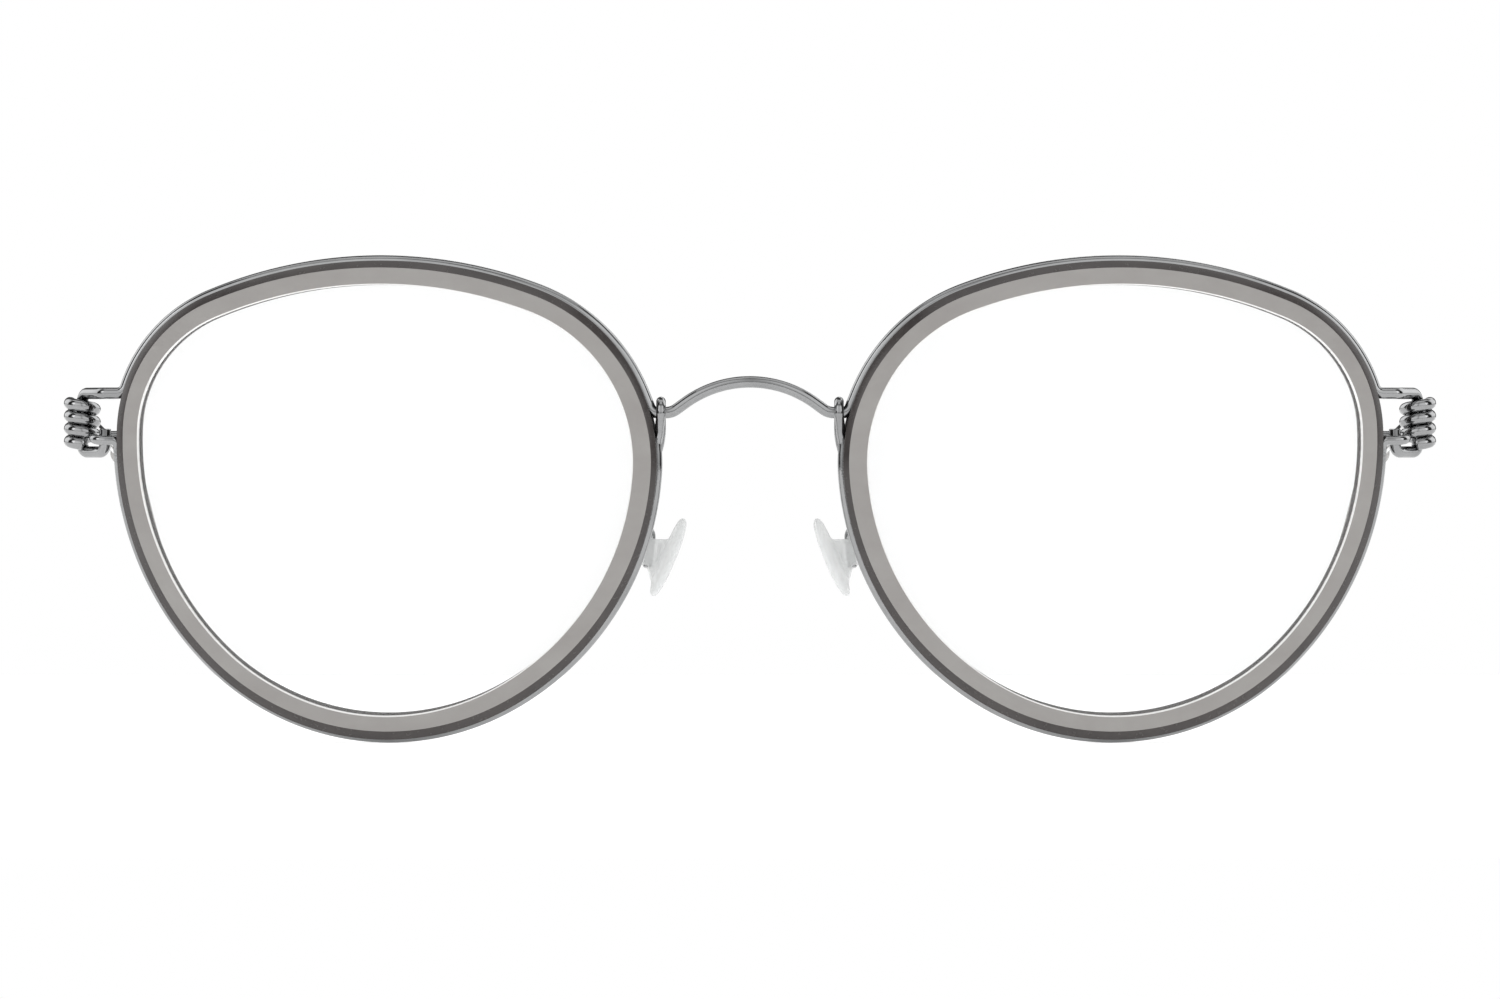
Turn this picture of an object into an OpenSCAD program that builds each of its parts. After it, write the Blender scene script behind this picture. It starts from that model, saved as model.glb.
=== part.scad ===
// Round wire eyeglasses: one bent top wire carries both rims, the bridge and the hinge pins.
// A thinner wire closes each rim below and ends in the nose pad arm.
// The temples are wires too: each one is coiled round its hinge pin, with no screw.
// Frame: X to the wearer's left, Y from the front towards the ears, Z up, standing on Z = 0.

/* [Front] */
// Distance between the two lens centres
lens_spacing = 68.5; // [66.5:0.1:70.5]
// Angle by which each lens turns back towards the temple
wrap_angle = 6.5; // [4:0.5:8]

/* [Rim outline, along the middle of the wire] */
// Radius of the upper nasal arc
r_high_nasal = 17.5; // [17.2:0.1:17.8]
// Radius of the shoulder arc at the top, on the temple side
r_shoulder = 14.1; // [13.8:0.1:14.4]
// Radius of the bottom arc
r_bottom = 24.1; // [23.8:0.1:24.4]
// Radius of the lower nasal arc
r_low_nasal = 27; // [26.7:0.1:27.3]

/* [Wire] */
// Diameter of the top wire, with the bridge and the hinge pins
top_wire_d = 1.1; // [1:0.05:1.15]
// Diameter of the lower rim wires
low_wire_d = 0.9; // [0.8:0.05:0.9]
// Diameter of the temple wires
temple_wire_d = 1.15; // [1.05:0.05:1.15]

/* [Inner rims and lenses] */
// Width of an inner rim, from the wire's middle to the lens opening
inner_rim_w = 2.25; // [2.1:0.05:2.5]
// Depth of an inner rim, from front to back
inner_rim_depth = 3; // [2.8:0.1:3.2]
// Thickness of a lens
lens_t = 1.2; // [1:0.1:1.3]
// Radius of a lens's curved faces
lens_curve_r = 265; // [265:5:400]

/* [Bridge] */
// Radius of the bridge arch
bridge_r = 10.4; // [10:0.1:10.8]
// Half the angle of the bridge arch
bridge_half_angle = 36; // [34:1:38]

/* [Temples] */
// Distance of each hinge pin from the middle
pin_x = 63.3; // [63.1:0.05:63.5]
// Rise from one turn of the coil to the next
coil_pitch = 1.2; // [1.2:0.02:1.24]
// Length of the straight run of a temple
temple_straight = 96; // [90:1:100]
// Slope of the straight run
temple_slope = 3.1; // [2.7:0.2:3.9]
// Angle by which the temples draw together towards the back
temple_convergence = 1.55; // [1.05:0.1:2.05]
// Angle by which a temple bends down behind the ear
ear_bend = 24; // [20:1:30]
// Length of the tail beyond the ear bend
tail_l = 28; // [25:1:32]
// Diameter of an ear sleeve
sleeve_d = 2.2; // [2:0.1:2.6]

/* [Nose pads] */
// Length of a nose pad
pad_l = 8; // [8:0.2:9]
// Width of a nose pad
pad_w = 4.6; // [4.2:0.2:5]

/* [Hidden] */
$fn = 48;

seam = 0.01;                    // gap left where two runs of wire meet, inside a collar
collar_half = 0.03;             // half the length of that collar
swell = 0.01;                   // how far the collar stands out of the wire
grip = 0.02;                    // clearance of an ear sleeve on its wire
play = 0.05;                    // clearance between wires that turn or hook on each other
TITANIUM = [0.66, 0.67, 0.68];
ACETATE = [0.62, 0.60, 0.58];
CLEAR = [0.93, 0.95, 0.97, 0.35];
SILICONE = [0.88, 0.90, 0.90, 0.7];
RUBBER_GREY = [0.5, 0.49, 0.48];

// ---- vectors and placing ----
function unit(v) = v / norm(v);
function ray_out(a) = [cos(a), sin(a)];
// Matrix that puts local X, Y and Z along x, y and x cross y, at p
function placed(x, y, p) = let (z = cross(x, y))
    [[x[0], y[0], z[0], p[0]], [x[1], y[1], z[1], p[1]], [x[2], y[2], z[2], p[2]], [0, 0, 0, 1]];
// Any direction at a right angle to v
function across(v) = unit(cross(v, abs(v[2]) < 0.9 ? [0, 0, 1] : [1, 0, 0]));

module straight_run(a, b, d) {
    along = unit(b - a);
    side = across(along);
    multmatrix(placed(side, cross(along, side), a + along * seam))
        cylinder(d = d, h = norm(b - a) - 2 * seam);
}
// A thin collar that bridges the seam between two runs of wire
module collar(p, along, d) {
    side = across(along);
    multmatrix(placed(side, cross(along, side), p))
        cylinder(d = d + 2 * swell, h = 2 * collar_half, center = true);
}

// An arc of wire: from centre + r * start, setting off along heading
module arc_run(centre, r, start, heading, angle, d) {
    cut = seam / r * 180 / PI;
    multmatrix(placed(start, heading, centre)) rotate([0, 0, cut])
        rotate_extrude(angle = angle - 2 * cut) translate([r, 0]) circle(d = d);
}

// A wire through corner points, with one bend radius for each inner corner
module bent_wire(points, radii, d) {
    last = len(points) - 1;
    setback = [for (i = [0:last]) i == 0 || i == last ? 0 :
        radii[i - 1] * tan(turn_at(points, i) / 2)];
    for (i = [1:last]) {
        along = unit(points[i] - points[i - 1]);
        straight_run(points[i - 1] + along * setback[i - 1], points[i] - along * setback[i], d);
    }
    for (i = [1:last - 1]) {
        before = unit(points[i] - points[i - 1]);
        after = unit(points[i + 1] - points[i]);
        inward = unit(after - before * (after * before));
        arc_run(points[i] - before * setback[i] + inward * radii[i - 1], radii[i - 1],
            -inward, before, turn_at(points, i), d);
        collar(points[i] - before * setback[i], before, d);
        collar(points[i] + after * setback[i], after, d);
    }
}
function turn_at(p, i) = acos(unit(p[i] - p[i - 1]) * unit(p[i + 1] - p[i]));

// ---- rim outline: six arcs, each tangent to the next ----
// Outward directions at which one arc gives way to the next, anticlockwise from the nose
joins = [-4, 69.5, 112.5, 177.5, 226, 299, 356];
// The chain closes by itself: the radii of the top arc and the temple-side arc follow from the rest
function chord(i) = ray_out(joins[i + 1]) - ray_out(joins[i]);
gap = -(r_high_nasal * chord(0) + r_shoulder * chord(2) + r_bottom * chord(4) + r_low_nasal * chord(5));
det = chord(1)[0] * chord(3)[1] - chord(1)[1] * chord(3)[0];
r_top = (gap[0] * chord(3)[1] - gap[1] * chord(3)[0]) / det;
r_side = (chord(1)[0] * gap[1] - chord(1)[1] * gap[0]) / det;
arc_r = [r_high_nasal, r_top, r_shoulder, r_side, r_bottom, r_low_nasal];
function steps_to(i) = i == 0 ? [0, 0] :
    steps_to(i - 1) + (arc_r[i - 1] - arc_r[i]) * ray_out(joins[i]);
// Box of the outline, so that its middle is the lens centre
box_right = steps_to(0)[0] + arc_r[0];
box_left = steps_to(3)[0] - arc_r[3];
box_top = steps_to(1)[1] + arc_r[1];
box_bottom = steps_to(4)[1] - arc_r[4];
box_middle = [box_right + box_left, box_top + box_bottom] / 2;
function arc_c(i) = steps_to(i) - box_middle;
function arc_at(a) = a < joins[1] ? 0 : a < joins[2] ? 1 : a < joins[3] ? 2 : a < joins[4] ? 3 : a < joins[5] ? 4 : 5;
function rim_point(a) = arc_c(arc_at(a)) + arc_r[arc_at(a)] * ray_out(a);

// Lens plane to part frame, for the wearer's right lens, which is at negative X
lens_x = -lens_spacing / 2;
half_h = (box_top - box_bottom) / 2;
lens_z = half_h + low_wire_d / 2;
front_y = -65.97;                    // middle of the bridge, from the middle of the whole part
lens_y = front_y + 25 * sin(wrap_angle);
function in_plane(p, forward = 0) = [
    lens_x + p[0] * cos(wrap_angle) - forward * sin(wrap_angle),
    lens_y - p[0] * sin(wrap_angle) - forward * cos(wrap_angle),
    lens_z + p[1]];
function plane_dir(d) = [d[0] * cos(wrap_angle), -d[0] * sin(wrap_angle), d[1]];

module at_lens() {
    translate([lens_x, lens_y, lens_z]) rotate([90, 0, -wrap_angle]) children();
}
// Sweeps a 2D profile along the outline between two directions. The profile's X is outward.
module along_rim(from, to) {
    for (i = [0:5]) {
        cut = seam / arc_r[i] * 180 / PI;
        a = max(from, joins[i]) + cut;
        b = min(to, joins[i + 1]) - cut;
        if (b - a > 0.01)
            translate(arc_c(i)) rotate(a) rotate_extrude(angle = b - a)
                translate([arc_r[i], 0]) children();
    }
}
module rim_wire(from, to, d) {
    at_lens() {
        along_rim(from, to) circle(d = d);
        for (a = concat(from, [for (j = joins) if (j > from && j < to) j], to))
            collar(rim_point(a), [-sin(a), cos(a), 0], d);
    }
}

// ---- top wire ----
arm_z = lens_z + 10.05;              // the arm from the rim to the hinge pin
bridge_top_z = lens_z + 11.1;        // middle of the wire at the top of the bridge
bridge_low_z = lens_z + 8.2;         // where the bridge wire passes under the nose pad arm's loop
nasal_end = 22;                      // direction at which the top wire leaves the rim at the nose
arm_start = 161;                     // direction at which it leaves the rim at the temple
hook_z = lens_z + 4.5;               // bottom of the hook under the hinge pin
hook_bend = 0.8;
hook_top_z = lens_z + 6.7;
hook_x = -61.05;

function leave(a, turn, z) = let (
    p = in_plane(rim_point(a)),
    t = plane_dir(turn * [-sin(a), cos(a)])) p + t * (z - p[2]) / t[2];
nose_corner = leave(nasal_end, -1, bridge_low_z);
arm_corner = leave(arm_start, 1, arm_z);
loop_z = lens_z + 5.6;               // the closing loop of the lower wire, in front of the hook
loop_rise = 0.45;
lower_start = 184;
loop_corner = leave(lower_start, -1, loop_z);
loop_r = top_wire_d / 2 + low_wire_d / 2 + play;
hook_y = loop_corner[1] + loop_r;
pin_y = hook_y + 2.75;
arm_bend_x = -61.25;
arm_bend = arm_corner + plane_dir([-1, 0]) * (arm_corner[0] - arm_bend_x) / cos(wrap_angle);

module top_wire_half() {
    rim_wire(nasal_end, arm_start, top_wire_d);
    slope = [cos(bridge_half_angle), 0, sin(bridge_half_angle)];
    arch_end = [-bridge_r * sin(bridge_half_angle), nose_corner[1],
        bridge_top_z - bridge_r * (1 - cos(bridge_half_angle))];
    foot = arch_end - slope * (arch_end[2] - bridge_low_z) / slope[2];
    bent_wire([in_plane(rim_point(nasal_end)), nose_corner, foot, arch_end], [0.8, 1.6], top_wire_d);
    collar(arch_end, slope, top_wire_d);
    bent_wire([in_plane(rim_point(arm_start)), arm_corner, arm_bend, [-pin_x, pin_y, arm_z],
        [-pin_x, pin_y, hook_z], [hook_x, hook_y, hook_z], [hook_x, hook_y, hook_top_z]],
        [0.85, 1, 1, hook_bend, hook_bend], top_wire_d);
}
module top_wire() color(TITANIUM) {
    arc_run([0, nose_corner[1], bridge_top_z - bridge_r], bridge_r,
        [sin(bridge_half_angle), 0, cos(bridge_half_angle)],
        [-cos(bridge_half_angle), 0, sin(bridge_half_angle)], 2 * bridge_half_angle, top_wire_d);
    top_wire_half();
    mirror([1, 0, 0]) top_wire_half();
}

// ---- lower wire, with the closing loop at one end and the nose pad arm at the other ----
loop_x = -8.4;
nasal_leave = 4;
rise_z = lens_z + 6.2;               // above this height the pad wire stands clear of the inner rim
arm_outer = [-10.3, front_y + 5.6];  // where the pad arm runs behind the nasal side of the rim
pad_centre = [-9.55, front_y + 8.2, lens_z - 5];     // middle of the arm's straight end
pad_tilt = [-12, 6];                 // lean of that end: back at the top, and towards the nose at the top
pad_splay = 3;                       // turn of the pad about it
pad_axis = unit([sin(pad_tilt[1]), -sin(pad_tilt[0]), cos(pad_tilt[1])]);
pin_half = 1.5;                      // half the length of the arm's straight end, inside the pad's boss
elbow = 1.85;                        // height of the arm's last corner above the middle of its straight end

module lower_wire() color(TITANIUM) {
    back = loop_z + loop_rise;
    mid = [hook_x, hook_y, (loop_z + back) / 2];
    start = [0, -loop_r, -loop_rise / 2];
    arc_run(mid, norm(start), unit(start), [-1, 0, 0], 180, low_wire_d);
    straight_run(mid - start, mid - start + [1.5, 0, 0], low_wire_d);
    bent_wire([in_plane(rim_point(lower_start)), loop_corner, mid + start], [0.6], low_wire_d);
    collar(mid + start, [1, 0, 0], low_wire_d);
    collar(mid - start, [1, 0, 0], low_wire_d);
    rim_wire(lower_start, 356, low_wire_d);
    rim_wire(-4, nasal_leave, low_wire_d);
    front = [loop_x, nose_corner[1] - loop_r, bridge_low_z];
    rear = front + [0, 2 * loop_r, 0];
    rim_end = in_plane(rim_point(nasal_leave));
    rise = plane_dir([-sin(nasal_leave), cos(nasal_leave)]);
    bent_wire([rim_end, rim_end + rise * 0.7, [loop_x, rim_end[1], rise_z], [loop_x, front[1], rise_z + 1.4],
        front], [1.2, 1, 1], low_wire_d);
    arc_run([loop_x, nose_corner[1], bridge_low_z], loop_r, [0, -1, 0], [0, 0, 1], 180, low_wire_d);
    collar(front, [0, 0, 1], low_wire_d);
    collar(rear, [0, 0, 1], low_wire_d);
    bent_wire([rear, rear - [0, 0, 3.2], [arm_outer[0], arm_outer[1], lens_z + 2],
        [arm_outer[0] - 0.1, pad_centre[1] - 1.2, lens_z - 2.3],
        pad_centre + pad_axis * elbow, pad_centre - pad_axis * pin_half], [3, 1.6, 0.8, 0.6], low_wire_d);
}

// ---- inner rim and lens ----
groove_half = 0.6;                   // half the width, and the depth, of the groove for the wire
lens_groove_d = 0.5;                 // depth of the groove for the lens
bevel_w = 0.62;
flange = 0.04;                       // how far the groove's sides reach past the middle of the wire
rim_wall = 0.12;                     // how far the lens stops short of its groove's floor
lens_room = 0.85;                    // half the width of the groove for the lens

module rim_profile(grow = 0) {
    h = inner_rim_depth / 2 + grow;
    difference() {
        polygon([[-inner_rim_w - grow, -h], [-bevel_w, -h], [flange + grow, -h + bevel_w],
            [flange + grow, h - bevel_w], [-bevel_w, h], [-inner_rim_w - grow, h]]);
        translate([grow - groove_half, grow - groove_half])
            square([groove_half + 1, 2 * (groove_half - grow)]);
        translate([-inner_rim_w - 1, grow - lens_room])
            square([lens_groove_d + 1 - grow, 2 * (lens_room - grow)]);
    }
}
module inner_rim() color(ACETATE) at_lens() {
    along_rim(-4, 356) rim_profile();
    for (i = [1:6])
        translate(rim_point(joins[i])) rotate([90, 0, joins[i]])
            linear_extrude(height = 0.3, center = true) rim_profile(swell);
}

lens_inset = inner_rim_w - lens_groove_d + rim_wall;
lens_step = 3;
module lens_blank() {
    outline = [for (a = [-4:lens_step:356 - lens_step]) arc_c(arc_at(a)) +
        (arc_r[arc_at(a)] - lens_inset) * ray_out(a)];
    sag = pow(half_h, 2) / (2 * lens_curve_r);
    intersection() {
        linear_extrude(height = 8, center = true) polygon(outline);
        translate([0, 0, lens_t / 2 + sag - lens_curve_r]) difference() {
            sphere(r = lens_curve_r, $fn = 200);
            translate([0, 0, -lens_t]) sphere(r = lens_curve_r, $fn = 200);
        }
    }
}
module lens() color(CLEAR) at_lens() lens_blank();

// ---- nose pad ----
blade_lean = 16;                     // lean of the blade from the boss, towards the nose at the top
blade_up = 0.26;                     // middle of the blade above the middle of the boss
blade_back = 1.35;                   // distance of the blade's two sides from the boss
blade_face = 2.45;
blade_face_r = 30;                   // radius of the side that rests on the nose
boss_d = 2.1;
boss_half = 1.3;
web_half = 2.55;                     // half the height of the web where it meets the blade
web_t = 1.6;

module pad_outline() {
    foot_r = pad_w / 2;
    head_r = pad_w / 2 - 0.45;
    translate([0, foot_r - pad_l / 2]) circle(r = foot_r);
    translate([0, pad_l / 2 - head_r]) circle(r = head_r);
    polygon([[-foot_r, foot_r - pad_l / 2], [foot_r, foot_r - pad_l / 2],
        [head_r, pad_l / 2 - head_r], [-head_r, pad_l / 2 - head_r]]);
}
module blade() {
    rotate([0, blade_lean, 0]) translate([0, 0, blade_up]) intersection() {
        translate([blade_back, 0, 0]) rotate([90, 0, 90]) linear_extrude(height = 2) pad_outline();
        translate([blade_face - blade_face_r, 0, 0]) sphere(r = blade_face_r, $fn = 200);
    }
}
module web() {
    back = blade_back / cos(blade_lean);
    lean = web_half * tan(blade_lean);
    rotate([90, 0, 0]) linear_extrude(height = web_t, center = true)
        polygon([[0, boss_half], [back + lean, web_half], [back + lean + 0.3, web_half],
            [back - lean + 0.3, -web_half], [back - lean, -web_half], [0, -boss_half]]);
}
module nose_pad() color(SILICONE) {
    side = unit(cross([0, 1, 0], pad_axis));
    multmatrix(placed(side, cross(pad_axis, side), pad_centre)) rotate([0, 0, pad_splay])
        difference() {
            union() {
                blade();
                web();
                cylinder(d = boss_d, h = 2 * boss_half, center = true);
            }
            cylinder(d = low_wire_d + 2 * play, h = 2 * boss_half + 0.6, center = true);
        }
}

// ---- temple ----
coil_r = top_wire_d / 2 + play + temple_wire_d / 2;
coil_top_z = lens_z + 9.15;          // height at which the temple runs into its coil
half_turns = 6;
end_sweep = 97;                      // last part turn, up to the stop against the hook
lead = 2.2;                          // level run between the coil and the slope
ear_bend_r = 22;                     // radius of the bend behind the ear
tail_inward = 6;                     // lean of the tail towards the head
coil_start = [-pin_x - coil_r, pin_y, coil_top_z];
run_dir = unit([sin(temple_convergence), cos(temple_convergence), -tan(temple_slope)]);
lead_end = coil_start + [0, lead, 0];
ear_corner = lead_end + temple_straight * run_dir;
tail_dir = unit([sin(tail_inward), cos(temple_slope + ear_bend), -sin(temple_slope + ear_bend)]);
sleeve_end = ear_corner + tail_l * tail_dir;
sleeve_taper = 3;
sleeve_run = 14;                     // length of the sleeve before the ear bend
wire_short = 2.5;                    // how far the wire stops short of the sleeve's tip
wire_end = sleeve_end - wire_short * tail_dir;
sleeve_start = ear_corner - sleeve_run * run_dir;

module temple() color(TITANIUM) {
    r = norm([coil_r, coil_pitch / 4]);
    for (k = [0:half_turns]) {
        side = k % 2 == 0 ? -1 : 1;
        arc_run([-pin_x, pin_y, coil_top_z - (k + 0.5) * coil_pitch / 2], r,
            unit([side * coil_r, 0, coil_pitch / 4]), [0, side, 0],
            k < half_turns ? 180 : end_sweep, temple_wire_d);
        translate([-pin_x - side * -coil_r, pin_y, coil_top_z - k * coil_pitch / 2])
            collar([0, 0, 0], [0, 1, 0], temple_wire_d);
    }
    bent_wire([coil_start, lead_end, ear_corner, wire_end], [8, ear_bend_r], temple_wire_d);
}

module ear_sleeve() color(RUBBER_GREY) {
    taper_end = sleeve_start + sleeve_taper * run_dir;
    side = across(run_dir);
    difference() {
        union() {
            bent_wire([taper_end, ear_corner, sleeve_end], [ear_bend_r], sleeve_d);
            multmatrix(placed(side, cross(run_dir, side), sleeve_start))
                cylinder(d1 = sleeve_d - 0.9, d2 = sleeve_d, h = sleeve_taper + 0.02);
            translate(sleeve_end) sphere(d = sleeve_d + 2 * swell);
            collar(taper_end, run_dir, sleeve_d);
        }
        bent_wire([sleeve_start - run_dir, ear_corner, wire_end + 0.1 * tail_dir],
            [ear_bend_r], temple_wire_d + 2 * grip);
    }
}

module both(name) {
    children();
    mirror([1, 0, 0]) children();
}

top_wire();
both("lower_wire") lower_wire();
both("inner_rim") inner_rim();
both("lens") lens();
both("nose_pad") nose_pad();
both("temple") temple();
both("ear_sleeve") ear_sleeve();
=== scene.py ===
import math

import bpy
import bmesh
import numpy as np
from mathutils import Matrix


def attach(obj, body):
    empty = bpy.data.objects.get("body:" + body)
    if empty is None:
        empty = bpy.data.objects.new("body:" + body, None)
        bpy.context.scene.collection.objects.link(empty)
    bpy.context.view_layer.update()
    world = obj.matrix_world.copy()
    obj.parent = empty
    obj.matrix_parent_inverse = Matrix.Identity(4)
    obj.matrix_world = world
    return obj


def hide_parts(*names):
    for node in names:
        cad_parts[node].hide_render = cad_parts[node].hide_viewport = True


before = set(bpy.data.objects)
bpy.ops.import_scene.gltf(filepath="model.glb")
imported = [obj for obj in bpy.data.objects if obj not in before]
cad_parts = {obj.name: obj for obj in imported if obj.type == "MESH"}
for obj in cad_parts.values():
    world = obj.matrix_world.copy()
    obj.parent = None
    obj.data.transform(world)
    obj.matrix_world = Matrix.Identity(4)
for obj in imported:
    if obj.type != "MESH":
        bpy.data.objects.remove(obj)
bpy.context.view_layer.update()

MM = 0.001

# ---------------------------------------- sizes, in millimetres and degrees, the CAD's where it has them
LENS_SPACING = 68.5
WRAP = 6.5
NASAL_REACH = 25
FRONT_Y = -65.97
TOP_D = 1.1
LOW_D = 0.9
TEMPLE_D = 1.15
PLAY = 0.05

# the outline: directions where its arcs meet, and the radii that aren't worked out from the others
FIRST_JOIN = -4
JOINS = [FIRST_JOIN, 69.5, 112.5, 177.5, 226, 299, 356]
R_HIGH_NASAL = 17.5
R_SHOULDER = 14.1
R_BOTTOM = 24.1
R_LOW_NASAL = 27.0

RIM_W = 2.25
RIM_DEPTH = 3.0
BEVEL_W = 0.62
FLANGE = 0.04
GROOVE = 0.6
LENS_ROOM = 0.85
LENS_GROOVE = 0.5
LENS_T = 1.2
LENS_R = 265.0
LENS_EDGE_PLAY = 0.12
LENS_EDGE_SCALE = 0.9995

# how far the visual rim leaves the CAD's section, at the most
OPENING_WIDER = 0.12
LIP_FURTHER_IN = 0.28
FRONT_CHAMFER_WIDER = 0.05
BEVEL_NARROWER = 0.17
FLANGE_FURTHER_OUT = 0.14

BRIDGE_R = 10.4
BRIDGE_HALF = 36.0
BRIDGE_FOOT_BEND = 1.6
NOSE_BEND = 0.8

PIN_X = 63.3
PIN_SETBACK = 2.75
ARM_ROOT_BEND = 0.85
ARM_BEND_X = -61.25
ARM_BEND_R = 1.0
HOOK_X = -61.05
HOOK_BEND = 0.8
LOOP_RISE = 0.45
LOOP_TAIL = 1.5
LOOP_EXIT_BEND = 0.6

COIL_PITCH = 1.2
COIL_TURNS = 3 + 97 / 360
STEPS_PER_TURN = 60
LEAD_L = 2.2
LEAD_BEND_R = 8
TEMPLE_STRAIGHT = 96.0
SLOPE = 3.1
CONVERGE = 1.55
EAR_BEND = 24.0
EAR_BEND_R = 22.0
TAIL_L = 28.0
TAIL_INWARD = 6.0
WIRE_SHORT = 2.5
SLEEVE_D = 2.2
SLEEVE_RUN = 14.0
SLEEVE_TAPER = 3.0
SLEEVE_STEP = 0.45
SLEEVE_WAIST = 0.16
SLEEVE_WAIST_AT = 0.72
SLEEVE_WAIST_L = 9.0

PAD_L = 8.0
PAD_W = 4.6
PAD_SPLAY = 3.0
PIN_HALF = 1.5
ELBOW = 1.85
BOSS_R = 1.06
BOSS_HALF = 1.3
BLADE_LEAN = 16.0
BLADE_UP = 0.26
BLADE_BACK = 1.35
BLADE_FACE = 2.45
BLADE_PLUMP = 0.14
BOSS_PLUMP = 0.04
WEB_T = 1.44
WEB_TOP = 1.95
WEB_BOTTOM = -3.05
WEB_TAPER = 0.8
WEB_SUNK = 0.1
WEB_BITE = 0.25
PAD_TILT_OUT = 6
PAD_TILT_BACK = 12


def deg(a):
    return math.radians(a)


def out_dir(a):
    return np.array([math.cos(deg(a)), math.sin(deg(a))])


def unit(v):
    v = np.asarray(v, float)
    return v / np.linalg.norm(v)


def vec(*v):
    return np.array(v, float)


# ---------------------------------------- rim outline
def chord(i):
    return out_dir(JOINS[i + 1]) - out_dir(JOINS[i])


def solve_outline():
    """Arc radii and centres of the closed outline about its middle, and half its height."""
    known = R_HIGH_NASAL * chord(0) + R_SHOULDER * chord(2) + R_BOTTOM * chord(4) + R_LOW_NASAL * chord(5)
    r_top, r_side = np.linalg.solve(np.column_stack([chord(1), chord(3)]), -known)
    radii = [R_HIGH_NASAL, r_top, R_SHOULDER, r_side, R_BOTTOM, R_LOW_NASAL]
    centres = [np.zeros(2)]
    for i in range(1, len(radii)):
        centres.append(centres[-1] + (radii[i - 1] - radii[i]) * out_dir(JOINS[i]))
    right = centres[0][0] + radii[0]
    left = centres[3][0] - radii[3]
    top = centres[1][1] + radii[1]
    bottom = centres[4][1] - radii[4]
    middle = np.array([right + left, top + bottom]) / 2
    return radii, [c - middle for c in centres], (top - bottom) / 2


ARC_R, ARC_C, HALF_H = solve_outline()
LENS_X = -LENS_SPACING / 2
LENS_Y = FRONT_Y + NASAL_REACH * math.sin(deg(WRAP))
LENS_Z = HALF_H + LOW_D / 2


def rim_point(a, inset=0.0):
    """A point of the outline, seen from the front, where its outward direction is a."""
    a = (a - FIRST_JOIN) % 360 + FIRST_JOIN
    i = max(k for k in range(len(ARC_R)) if JOINS[k] <= a + 1e-9)
    return ARC_C[i] + (ARC_R[i] - inset) * out_dir(a)


def in_plane(p, forward=0.0):
    """From the wearer's right rim's own plane to the frame."""
    c = math.cos(deg(WRAP))
    s = math.sin(deg(WRAP))
    return vec(LENS_X + p[0] * c - forward * s, LENS_Y - p[0] * s - forward * c, LENS_Z + p[1])


def plane_dir(d):
    return vec(d[0] * math.cos(deg(WRAP)), -d[0] * math.sin(deg(WRAP)), d[1])


def along_rim(a):
    """The way the outline runs at direction a, as the angle grows."""
    return plane_dir((-math.sin(deg(a)), math.cos(deg(a))))


def rim_run(a, b, step=1.0):
    """Points along the outline between two directions."""
    n = max(2, int(math.ceil(abs(b - a) / step)))
    return [in_plane(rim_point(a + (b - a) * k / n)) for k in range(n + 1)]


def leave(a, turn, z):
    """Where a wire that leaves the outline straight at direction a reaches height z."""
    start = in_plane(rim_point(a))
    way = turn * along_rim(a)
    return start + way * (z - start[2]) / way[2]


# ---------------------------------------- paths
def bent(points, radii, arc_step=6.0, run_step=1.2):
    """A dense line through corner points with a round bend at each inner corner."""
    pts = [np.asarray(p, float) for p in points]
    out = [pts[0]]

    def run_to(q):
        p = out[-1]
        n = max(1, int(np.linalg.norm(q - p) / run_step))
        out.extend(p + (q - p) * k / n for k in range(1, n + 1))

    for i in range(1, len(pts) - 1):
        before = unit(pts[i] - pts[i - 1])
        after = unit(pts[i + 1] - pts[i])
        turn = math.acos(max(-1, min(1, before @ after)))
        r = radii[i - 1]
        setback = r * math.tan(turn / 2)
        inward = unit(after - before * (after @ before))
        centre = pts[i] - before * setback + inward * r
        run_to(pts[i] - before * setback)
        n = max(3, int(math.degrees(turn) / arc_step))
        for k in range(1, n + 1):
            t = turn * k / n
            out.append(centre - inward * r * math.cos(t) + before * r * math.sin(t))
    run_to(pts[-1])
    return out


def arc(centre, r, start, heading, angle, step=6.0):
    """Points round a circle, from the start direction towards the heading."""
    n = max(3, int(angle / step))
    turns = [deg(angle * k / n) for k in range(n + 1)]
    return [centre + r * (math.cos(t) * unit(start) + math.sin(t) * unit(heading)) for t in turns]


SAME_POINT = 0.02


def joined(*runs):
    """One line from several, without points that repeat."""
    out = []
    for run in runs:
        for p in run:
            if not out or np.linalg.norm(p - out[-1]) > SAME_POINT:
                out.append(np.asarray(p, float))
    return out


def mirrored(points):
    return [p * vec(-1, 1, 1) for p in points]


# directions on the outline where the wires join and leave it
NASAL_LEAVE = 4
NASAL_END = 22
ARM_START = 161
LOWER_START = 184

BRIDGE_LOW_Z = LENS_Z + 8.2
BRIDGE_TOP_Z = LENS_Z + 11.1
ARM_Z = LENS_Z + 10.05
HOOK_Z = LENS_Z + 4.5
HOOK_TOP_Z = LENS_Z + 6.7
LOOP_Z = LENS_Z + 5.6
LOOP_R = TOP_D / 2 + LOW_D / 2 + PLAY
NOSE_CORNER = leave(NASAL_END, -1, BRIDGE_LOW_Z)
ARM_CORNER = leave(ARM_START, 1, ARM_Z)
LOOP_CORNER = leave(LOWER_START, -1, LOOP_Z)
HOOK_Y = LOOP_CORNER[1] + LOOP_R
PIN_Y = HOOK_Y + PIN_SETBACK
ARM_BEND = ARM_CORNER + plane_dir((-1, 0)) * (ARM_CORNER[0] - ARM_BEND_X) / math.cos(deg(WRAP))


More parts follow.
